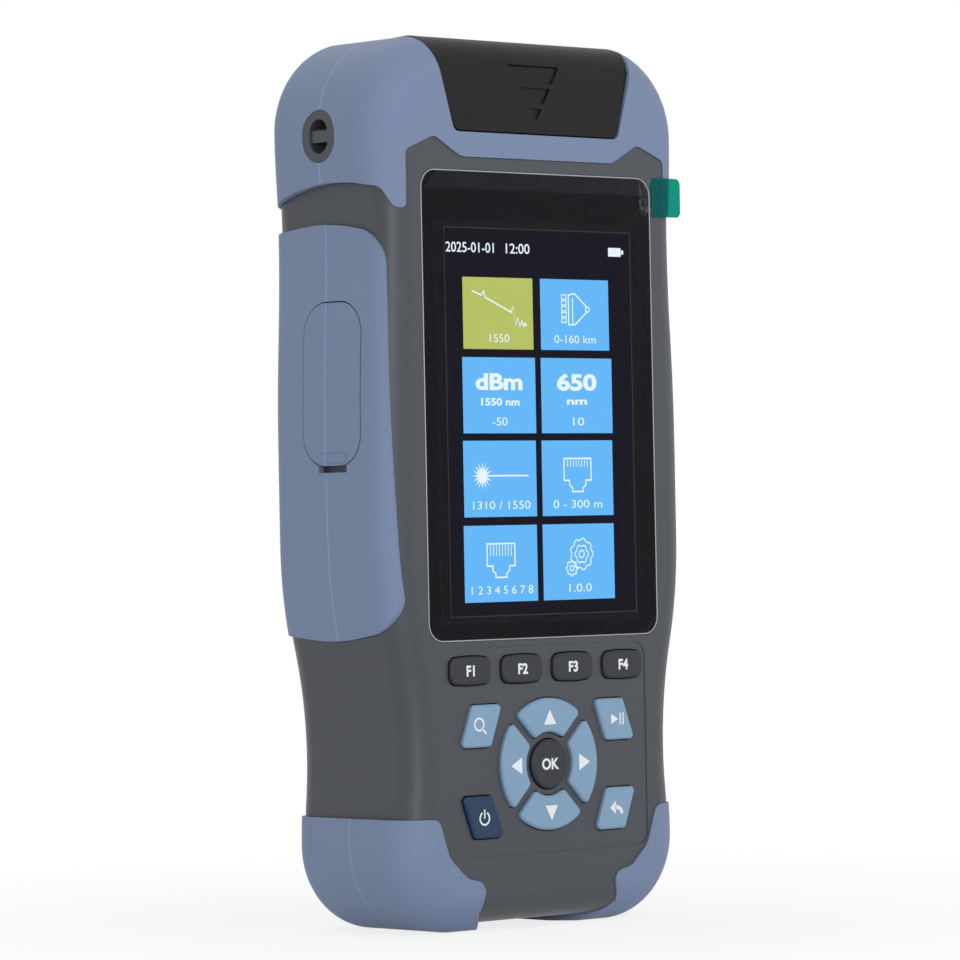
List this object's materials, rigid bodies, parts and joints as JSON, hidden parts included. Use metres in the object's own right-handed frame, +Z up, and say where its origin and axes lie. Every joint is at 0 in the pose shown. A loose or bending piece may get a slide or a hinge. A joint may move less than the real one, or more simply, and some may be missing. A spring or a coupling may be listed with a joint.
{
  "type": "optical time domain reflectometer",
  "caption": "Handheld fibre tester with a rubber-bumpered housing, colour screen, keypad, hinged cover over its optical ports and a side flap.",
  "frame": {"origin": "centre of the overall box in plan, on the surface the unit stands on", "axes": "+Z up along the housing, -Y out of the screen, +X to the right of a person who reads the screen"},
  "size_m": [0.0802, 0.0356, 0.1697],
  "materials": {
    "housing_plastic": "fine matte texture, dark grey",
    "bumper_rubber": "soft matte slate blue",
    "cover_plastic": "matte near-black",
    "window_glass": "glossy clear pane over a black border",
    "film_clear": "thin clear film",
    "tab_green": "translucent green film",
    "display": "dark display panel",
    "gasket_foam": "matte black foam",
    "key_dark": "satin dark keys",
    "key_blue": "satin light blue keys",
    "key_navy": "satin navy key",
    "mat_silicone": "translucent grey silicone",
    "switch_body": "black switch bodies",
    "board_laminate": "green solder mask",
    "steel": "zinc-plated steel",
    "module_can": "bead-blasted aluminium",
    "jack_plastic": "black socket plastic",
    "socket_metal": "nickel-plated socket shell",
    "port_nickel": "nickel-plated brass ports",
    "battery_sleeve": "blue battery sleeve"
  },
  "bodies": {
    "housing": {"front_shell": "housing_plastic", "rear_shell": "housing_plastic", "cover_hinge_pin": "steel", "screen_window": "window_glass", "screen_film": "film_clear", "film_pull_tab": "tab_green", "lcd_gasket": "gasket_foam", "lcd_module": "display", "keypad_mat": "mat_silicone", "key_switches": "switch_body", "main_board": "board_laminate", "board_screws": "steel", "optical_module": "module_can", "network_jack": "jack_plastic", "charging_socket": "socket_metal", "port_panel": "housing_plastic", "reflectometer_port": "port_nickel", "power_meter_port": "port_nickel", "fault_light_port": "port_nickel", "battery": "battery_sleeve", "battery_door": "housing_plastic", "battery_door_screws": "steel", "case_screws": "steel", "top_bumper_front": "bumper_rubber", "top_bumper_rear": "bumper_rubber", "left_grip_front": "bumper_rubber", "left_grip_rear": "bumper_rubber", "right_grip_front": "bumper_rubber", "right_grip_rear": "bumper_rubber", "bottom_left_bumper_front": "bumper_rubber", "bottom_left_bumper_rear": "bumper_rubber", "bottom_right_bumper_front": "bumper_rubber", "bottom_right_bumper_rear": "bumper_rubber"},
    "cover": {"port_cover": "cover_plastic"},
    "flap": {"port_flap": "bumper_rubber"},
    "button_f1": {"key_f1": "key_dark"},
    "button_f2": {"key_f2": "key_dark"},
    "button_f3": {"key_f3": "key_dark"},
    "button_f4": {"key_f4": "key_dark"},
    "button_zoom": {"key_zoom": "key_blue"},
    "button_play": {"key_play": "key_blue"},
    "button_power": {"key_power": "key_navy"},
    "button_back": {"key_back": "key_blue"},
    "button_up": {"key_up": "key_blue"},
    "button_down": {"key_down": "key_blue"},
    "button_left": {"key_left": "key_blue"},
    "button_right": {"key_right": "key_blue"},
    "button_ok": {"key_ok": "key_dark"}
  },
  "joints": [
    {"name": "cover_hinge", "type": "hinge", "parent": "housing", "child": "cover", "pos_m": [0, 0.0103, 0.1615], "axis": [-1, 0, 0], "range_deg": [0, 120]},
    {"name": "flap_hinge", "type": "hinge", "parent": "housing", "child": "flap", "pos_m": [-0.03889, -0.0013, 0.1181], "axis": [0, 1, 0], "range_deg": [0, 100], "stiffness_Nm_per_rad": 0.004},
    {"name": "key_f1_press", "type": "slide", "parent": "housing", "child": "button_f1", "axis": [0, 1, 0], "range_m": [0, 0.0008], "stiffness_N_per_m": 900},
    {"name": "key_f2_press", "type": "slide", "parent": "housing", "child": "button_f2", "axis": [0, 1, 0], "range_m": [0, 0.0008], "stiffness_N_per_m": 900},
    {"name": "key_f3_press", "type": "slide", "parent": "housing", "child": "button_f3", "axis": [0, 1, 0], "range_m": [0, 0.0008], "stiffness_N_per_m": 900},
    {"name": "key_f4_press", "type": "slide", "parent": "housing", "child": "button_f4", "axis": [0, 1, 0], "range_m": [0, 0.0008], "stiffness_N_per_m": 900},
    {"name": "key_zoom_press", "type": "slide", "parent": "housing", "child": "button_zoom", "axis": [0, 1, 0], "range_m": [0, 0.0008], "stiffness_N_per_m": 900},
    {"name": "key_play_press", "type": "slide", "parent": "housing", "child": "button_play", "axis": [0, 1, 0], "range_m": [0, 0.0008], "stiffness_N_per_m": 900},
    {"name": "key_power_press", "type": "slide", "parent": "housing", "child": "button_power", "axis": [0, 1, 0], "range_m": [0, 0.0008], "stiffness_N_per_m": 900},
    {"name": "key_back_press", "type": "slide", "parent": "housing", "child": "button_back", "axis": [0, 1, 0], "range_m": [0, 0.0008], "stiffness_N_per_m": 900},
    {"name": "key_up_press", "type": "slide", "parent": "housing", "child": "button_up", "axis": [0, 1, 0], "range_m": [0, 0.0008], "stiffness_N_per_m": 900},
    {"name": "key_down_press", "type": "slide", "parent": "housing", "child": "button_down", "axis": [0, 1, 0], "range_m": [0, 0.0008], "stiffness_N_per_m": 900},
    {"name": "key_left_press", "type": "slide", "parent": "housing", "child": "button_left", "axis": [0, 1, 0], "range_m": [0, 0.0008], "stiffness_N_per_m": 900},
    {"name": "key_right_press", "type": "slide", "parent": "housing", "child": "button_right", "axis": [0, 1, 0], "range_m": [0, 0.0008], "stiffness_N_per_m": 900},
    {"name": "key_ok_press", "type": "slide", "parent": "housing", "child": "button_ok", "axis": [0, 1, 0], "range_m": [0, 0.0008], "stiffness_N_per_m": 900}
  ]
}
